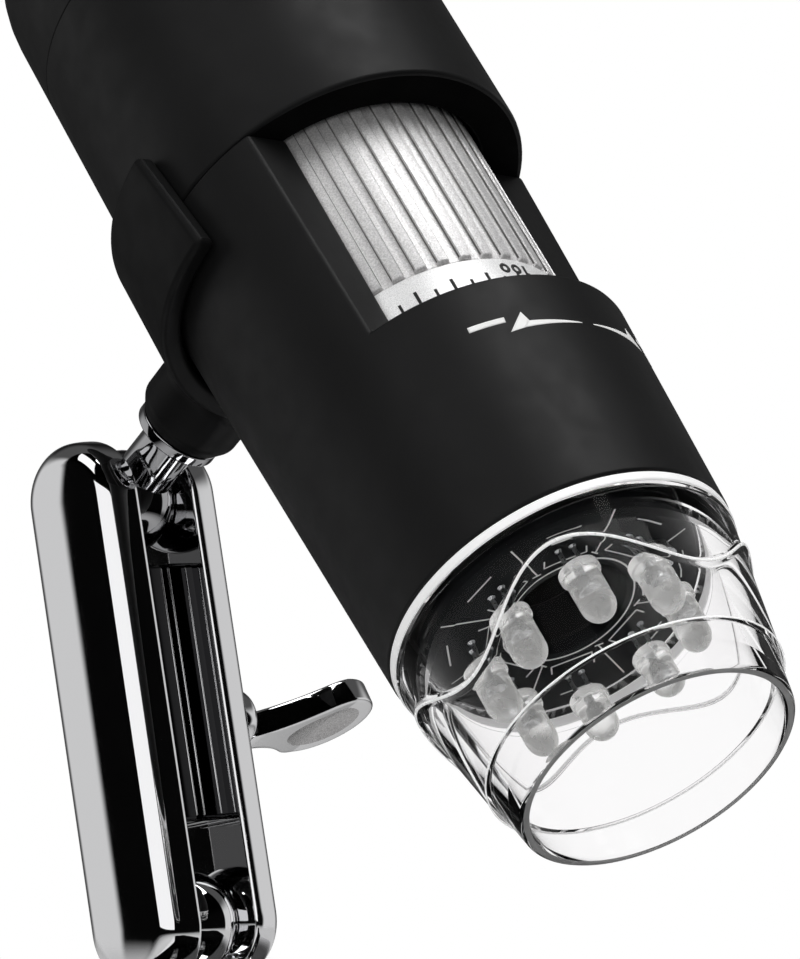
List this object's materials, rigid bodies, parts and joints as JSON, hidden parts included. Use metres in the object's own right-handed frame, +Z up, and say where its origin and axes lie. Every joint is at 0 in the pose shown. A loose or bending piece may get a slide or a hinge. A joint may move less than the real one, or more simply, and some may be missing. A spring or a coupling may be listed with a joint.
{
  "type": "usb digital microscope",
  "caption": "Hand-held USB microscope with a clear lamp-lit nose and a ridged focus wheel in a finger window, clipped to a chrome stand with ball joints.",
  "frame": {"origin": "middle of the base pad's underside, where the stand meets the table", "axes": "+X to the front, the way the nose points; +Y to the left, the thumb screw's side; +Z up"},
  "size_m": [0.0939, 0.06, 0.1228],
  "materials": {
    "chrome": "mirror-bright chrome plating",
    "pad_rubber": "matt black rubber",
    "washer_steel": "plain steel",
    "screw_steel": "plain steel",
    "body_plastic": "soft-touch matt black",
    "clip_plastic": "fine-grained matt black",
    "insert_brass": "turned brass",
    "nose_clear": "clear polished plastic",
    "board_black": "black circuit board",
    "board_green": "green circuit board",
    "lamp_resin": "milky clear resin",
    "wheel_silver": "satin silver",
    "rod_steel": "ground steel",
    "inner_plastic": "matt black",
    "lens_glass": "polished",
    "chip_plastic": "moulded package",
    "button_rubber": "matt black"
  },
  "bodies": {
    "base": {"base_plate": "chrome", "base_pad": "pad_rubber", "friction_washer": "washer_steel"},
    "foot": {"lower_ball_stud": "chrome", "foot_screw": "screw_steel"},
    "arm": {"arm_left_shell": "chrome"},
    "clamp": {"arm_right_shell": "chrome"},
    "screw": {"thumb_screw": "chrome"},
    "head": {"upper_ball_stud": "chrome"},
    "holder": {"collar_clip": "clip_plastic", "clip_insert": "insert_brass"},
    "scope": {"front_housing": "body_plastic", "rear_housing": "body_plastic", "top_cap": "body_plastic", "clear_nose": "nose_clear", "led_board": "board_black", "led_lamps": "lamp_resin", "led_screws": "screw_steel", "guide_rods": "rod_steel", "image_sensor": "chip_plastic", "sensor_board": "board_green", "board_spacers": "screw_steel", "control_board": "board_green", "control_chip": "chip_plastic", "snapshot_switch": "chip_plastic", "board_screws": "screw_steel", "housing_screws": "screw_steel"},
    "wheel": {"focus_wheel": "wheel_silver"},
    "carriage": {"lens_carriage": "inner_plastic", "objective_lens": "lens_glass", "lens_ring": "screw_steel"},
    "button": {"snapshot_button": "button_rubber"}
  },
  "joints": [
    {"name": "base_pan", "type": "hinge", "parent": "base", "child": "foot", "pos_m": [-0.022, 0, 0.0197], "axis": [0, 0, 1], "continuous": true},
    {"name": "arm_tilt", "type": "hinge", "parent": "foot", "child": "arm", "pos_m": [-0.022, 0, 0.0197], "axis": [0, 1, 0], "range_deg": [-45, 12]},
    {"name": "clamp_open", "type": "slide", "parent": "arm", "child": "clamp", "axis": [0, 1, 0], "range_m": [0, 0.000525]},
    {"name": "screw_turn", "type": "hinge", "parent": "clamp", "child": "screw", "pos_m": [-0.02562, 0, 0.03749], "axis": [0, 1, 0], "range_deg": [0, 270]},
    {"name": "head_tilt", "type": "hinge", "parent": "arm", "child": "head", "pos_m": [-0.02968, 0, 0.05743], "axis": [0, -1, 0], "range_deg": [-12, 55]},
    {"name": "head_spin", "type": "hinge", "parent": "head", "child": "holder", "pos_m": [-0.02968, 0, 0.05743], "axis": [0.7337, 0, 0.6794], "range_deg": [-180, 180]},
    {"name": "scope_turn", "type": "hinge", "parent": "holder", "child": "scope", "pos_m": [-0.00326, 0, 0.08189], "axis": [-0.6707, 0.1599, 0.7243], "range_deg": [-90, 90]},
    {"name": "focus_turn", "type": "hinge", "parent": "scope", "child": "wheel", "pos_m": [0.00432, -0.00181, 0.0737], "axis": [-0.6707, 0.1599, 0.7243], "range_deg": [-150, 150]},
    {"name": "lens_slide", "type": "slide", "parent": "scope", "child": "carriage", "axis": [-0.6707, 0.1599, 0.7243], "range_m": [-0.006, 0.006]},
    {"name": "button_press", "type": "slide", "parent": "scope", "child": "button", "axis": [-0.1086, -0.9871, 0.1173], "range_m": [0, 0.0004], "stiffness_N_per_m": 1500, "springref_m": -0.0001}
  ],
  "couplings": [
    {"joint": "focus_turn", "follows": "lens_slide", "rad_per_m": 436.3},
    {"joint": "screw_turn", "follows": "clamp_open", "rad_per_m": 8970}
  ]
}
